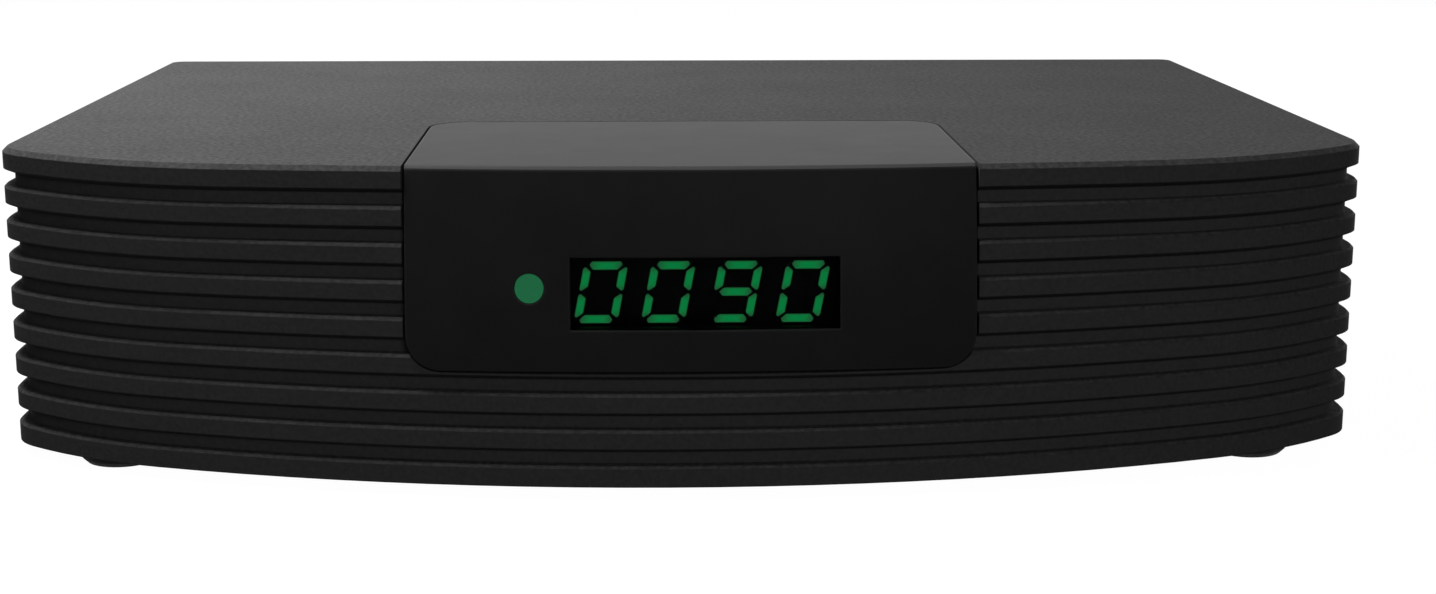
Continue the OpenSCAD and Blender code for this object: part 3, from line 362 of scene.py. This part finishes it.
def cast_bar(mesh, name, digit_at, depth):
    """Adds a bar to a mesh, of the digit whose front has its middle at this place. Its UV map gives each
    point's share of the way from the bar's middle to its tips and sides."""
    middle, along, outward, (outer, tip, inner) = BARS[name]
    half = (REACH_X if along is ACROSS else REACH_Z / 2) - END_GAP
    side = STROKE / 2
    outline = [(outer * STROKE - half, side), (half - outer * STROKE, side), (half, tip * STROKE),
               (half - inner * STROKE, -side), (inner * STROKE - half, -side), (-half, tip * STROKE)]
    bar = bmesh.new()
    front = bar.faces.new([bar.verts.new((u, 0, v)) for u, v in outline])
    back = bmesh.ops.extrude_face_region(bar, geom=[front])["geom"]
    bmesh.ops.translate(bar, vec=(0, depth, 0),
                        verts=[v for v in back if isinstance(v, bmesh.types.BMVert)])
    corners = [e for e in bar.edges if e.verts[0].co.y != e.verts[1].co.y]
    bmesh.ops.bevel(bar, geom=corners, offset=CORNER_ROUND, affect="EDGES", segments=2, profile=0.5,
                    material=-1)
    shares = bar.loops.layers.uv.new("shares")
    for face in bar.faces:
        for loop in face.loops:
            loop[shares].uv = (loop.vert.co.x / half, loop.vert.co.z / side)
    x, y, z = digit_at
    for v in bar.verts:
        at = middle + along * v.co.x + outward * v.co.z
        v.co = (x + at.x + at.y * SLANT, y + v.co.y, z + at.y)
    bmesh.ops.recalc_face_normals(bar, faces=bar.faces)
    whole = bpy.data.meshes.new("bar")
    bar.to_mesh(whole)
    bar.free()
    mesh.from_mesh(whole)
    bpy.data.meshes.remove(whole)


low, high = (Vector(corner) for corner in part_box("display_digits"))
centre = (low + high) / 2
digits = bmesh.new()
for digit, lit_bars in enumerate(SHOWN):
    digit_x = centre.x + (digit - (len(SHOWN) - 1) / 2) * DIGIT_PITCH
    for name in lit_bars:
        cast_bar(digits, name, (digit_x, low.y, centre.z), high.y - low.y)

# Cast green epoxy lit from behind: brightest over the chip in a bar's middle, dull and grey at its rim.
# It starts to dull at these shares of a bar's length and width, and would be wholly dull at the others.
LONG_BRIGHT, LONG_DULL = 0.25, 1.15
WIDE_BRIGHT, WIDE_DULL = 0.45, 1.3
bar_epoxy, tree, shader, _ = start_material("lit segment epoxy", {
    "Roughness": 0.4, "Specular IOR Level": 0.1, "Emission Strength": 3.2})
share = add(tree, "ShaderNodeSeparateXYZ", {
    "Vector": add(tree, "ShaderNodeUVMap", uv_map="shares").outputs[0]})
far = add(tree, "ShaderNodeMath", {0: share.outputs["X"]}, operation="ABSOLUTE")
far = add(tree, "ShaderNodeMapRange", {"Value": far.outputs[0], "From Min": LONG_BRIGHT,
                                       "From Max": LONG_DULL}, interpolation_type="SMOOTHSTEP")
wide = add(tree, "ShaderNodeMath", {0: share.outputs["Y"]}, operation="ABSOLUTE")
wide = add(tree, "ShaderNodeMapRange", {"Value": wide.outputs[0], "From Min": WIDE_BRIGHT,
                                        "From Max": WIDE_DULL}, interpolation_type="SMOOTHSTEP")
dull = add(tree, "ShaderNodeMath", {0: far.outputs[0], 1: wide.outputs[0]}, operation="MAXIMUM")
lit = add(tree, "ShaderNodeMix", {FACTOR: dull.outputs[0], FIRST: linear("#0e944d"),
                                  SECOND: linear("#2a5a3c")}, data_type="RGBA")
light_up(tree, shader, lit)
segments = piece("lit_segments", digits, bar_epoxy)
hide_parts("display_digits")
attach(segments, "receiver")

# Fascia: a smooth dark panel let flush into the front and the lid, with a window for the display and a
# hole for the indicator. It is moulded in a polished tool, so it has no grain, only a soft gloss. Its
# specular level is low for the same reason as the case's.
# Its eased edges are painted paler, partly as wear and partly as a painted highlight.
fascia_abs = moulded("polished ABS", "#242424", "#272727", grain=6.0, depth=0.001, rough=(0.28, 0.31),
                     constants={"IOR": 1.53, "Specular IOR Level": 0.0065}, edge=0.4, edge_wear_and_highlight="#363636")
dress(fascia_abs, "fascia")
# The chamfer along its top front edge is painted paler, a painted highlight for the light that it catches
# # from above. The band of painted highlight ends just short of the level top.
CHAMFER = 0.35 * MM
TOP_MARGIN = 0.007 * MM
tree = fascia_abs.node_tree
shader = tree.nodes["Principled BSDF"]
lid_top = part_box("fascia")[1][2]
height = add(tree, "ShaderNodeSeparateXYZ", {
    "Vector": add(tree, "ShaderNodeTexCoord").outputs["Object"]})
above = add(tree, "ShaderNodeMath", {0: height.outputs["Z"], 1: lid_top - CHAMFER}, operation="GREATER_THAN")
below = add(tree, "ShaderNodeMath", {0: height.outputs["Z"], 1: lid_top - TOP_MARGIN},
            operation="LESS_THAN")
highlight_band = add(tree, "ShaderNodeMath", {0: above.outputs[0], 1: below.outputs[0]}, operation="MULTIPLY")
plain = shader.inputs["Base Color"].links[0].from_socket
painted_highlight = add(tree, "ShaderNodeMix", {FACTOR: highlight_band.outputs[0], FIRST: plain, SECOND: linear("#4a4a4a")},
           data_type="RGBA")
tree.links.new(painted_highlight.outputs[MIXED], shader.inputs["Base Color"])

# Display lens: a thin window of smoked acrylic set flush in the fascia. It is coated against reflections,
# so it takes no gloss, and it darkens all behind it until only the lit segments show.
SMOKE_WIDTH = 5
smoked, tree, shader, place = start_material("smoked acrylic", {
    "IOR": 1.0, "Transmission Weight": 1.0, "Roughness": 0.0})
smoke = add(tree, "ShaderNodeTexNoise", {"Vector": place, "Scale": per(SMOKE_WIDTH), "Detail": 2.0})
tint = add(tree, "ShaderNodeMix", {FACTOR: smoke.outputs[0], FIRST: linear("#6f7370"),
                                   SECOND: linear("#747875")}, data_type="RGBA")
tree.links.new(tint.outputs[MIXED], shader.inputs["Base Color"])
dress(smoked, "display_lens")

# Indicator lens: a round light pipe of green acrylic, pushed through the fascia to carry the lamp's light
# out. Its face is frosted, so it looks evenly lit and dull.
FROST_WIDTH = 0.8
green_acrylic, tree, shader, place = start_material("green frosted acrylic", {
    "IOR": 1.49, "Roughness": 0.45, "Specular IOR Level": 0.05, "Emission Strength": 0.6})
frost = add(tree, "ShaderNodeTexNoise", {"Vector": place, "Scale": per(FROST_WIDTH), "Detail": 2.0})
tint = add(tree, "ShaderNodeMix", {FACTOR: frost.outputs[0], FIRST: linear("#1b5d3a"),
                                   SECOND: linear("#206641")}, data_type="RGBA")
light_up(tree, shader, tint)
dress(green_acrylic, "indicator_lens")

# Top cover: the lid, its rim and the upper five ribs, one shell moulded in the same ABS as the bottom
# case and screwed to it from below. The screws' zinc plate is grey and a little bright.
dress(case_abs, "top_cover")
screw_zinc = metal("zinc-plated screw steel", "#85878a", "#a2a4a6", streak=(0.3, 0.3, 0.3),
                   rough=(0.25, 0.4), depth=0.002)
dress(screw_zinc, "case_screws", "board_screws")

# Floor: a wide sheet of white paper under the receiver. The camera, reflections and clear parts see it
# as almost full white, on which a shadow is too faint to show, while the light that it sends back to the
# case is low.
FLOOR_SIZE = 6.0
FLOOR_GLOW = 0.985


def in_sight(tree):
    """One for rays from the camera, from reflections and through clear parts, and zero for other light."""
    ray = add(tree, "ShaderNodeLightPath")
    seen = ray.outputs["Is Camera Ray"]
    for kind in ("Is Glossy Ray", "Is Transmission Ray"):
        seen = add(tree, "ShaderNodeMath", {0: seen, 1: ray.outputs[kind]}, operation="MAXIMUM").outputs[0]
    return seen


bpy.ops.mesh.primitive_plane_add(size=FLOOR_SIZE)
floor = bpy.context.object
floor.name = "floor"
paper, tree, shader, _ = start_material("white paper", {
    "Base Color": linear("#3c3c3c"), "Roughness": 0.9, "Specular IOR Level": 0.0,
    "Emission Color": linear("#ffffff")})
glow = add(tree, "ShaderNodeMath", {0: in_sight(tree), 1: FLOOR_GLOW}, operation="MULTIPLY")
tree.links.new(glow.outputs[0], shader.inputs["Emission Strength"])
floor.data.materials.append(paper)

# Light: a white studio with three softboxes. The camera, reflections and clear parts see the studio at full
# white, and its walls fill softly. The softboxes stand over the left end, in front and behind the right end.
# They light the lid far more than the ribs, as in the photograph.
STUDIO_FILL, STUDIO_WHITE = 0.05, 1.0
world = bpy.data.worlds.new("studio")
bpy.context.scene.world = world
world.use_nodes = True
tree = world.node_tree
level = add(tree, "ShaderNodeMapRange", {"Value": in_sight(tree), "To Min": STUDIO_FILL,
                                         "To Max": STUDIO_WHITE})
studio = tree.nodes["Background"]
studio.inputs["Color"].default_value = linear("#ffffff")
tree.links.new(level.outputs[0], studio.inputs["Strength"])


def softbox(name, place, aim, sides, power):
    """An oblong lamp at a place, turned to face a point. Lengths are in metres, and its power in watts."""
    lamp = bpy.data.lights.new(name, "AREA")
    lamp.shape = "RECTANGLE"
    lamp.size, lamp.size_y = sides
    lamp.energy = power
    box = bpy.data.objects.new(name, lamp)
    box.location = place
    box.rotation_euler = (Vector(aim) - Vector(place)).to_track_quat("-Z", "Y").to_euler()
    box.visible_camera = False
    bpy.context.scene.collection.objects.link(box)


softbox("key", place=(-0.15, 0.045, 0.33), aim=(-0.285, 0.045, 0.04), sides=(0.3, 0.2), power=3.1)
softbox("front", place=(0.18, -0.88, 0.34), aim=(0.0, -0.06, 0.02), sides=(0.3, 0.3), power=1.7)
softbox("fill", place=(0.5, 0.45, 0.15), aim=(0.0, 0.03, 0.02), sides=(0.4, 0.3), power=1.8)

# Camera: a little left of the middle and looking slightly down and right, as in the photograph. Its place
# is in millimetres, and its angles are in radians.
LENS = 55.31
CAMERA_AT = (-5.87, -313.27, 75.96)
LOOK_DOWN = 0.2079
LOOK_RIGHT = 0.0355
ROLL = 0.0013
NEAREST = 10 * MM
camera = bpy.data.objects.new("camera", bpy.data.cameras.new("camera"))
camera.data.lens = LENS
camera.data.clip_start = NEAREST
camera.location = Vector(CAMERA_AT) * MM
aimed = Euler((math.pi / 2 - LOOK_DOWN, 0, -LOOK_RIGHT)).to_matrix()
camera.rotation_euler = (aimed @ Matrix.Rotation(ROLL, 3, "Z")).to_euler()
bpy.context.scene.collection.objects.link(camera)
bpy.context.scene.camera = camera
bpy.context.scene.view_settings.view_transform = "Standard"
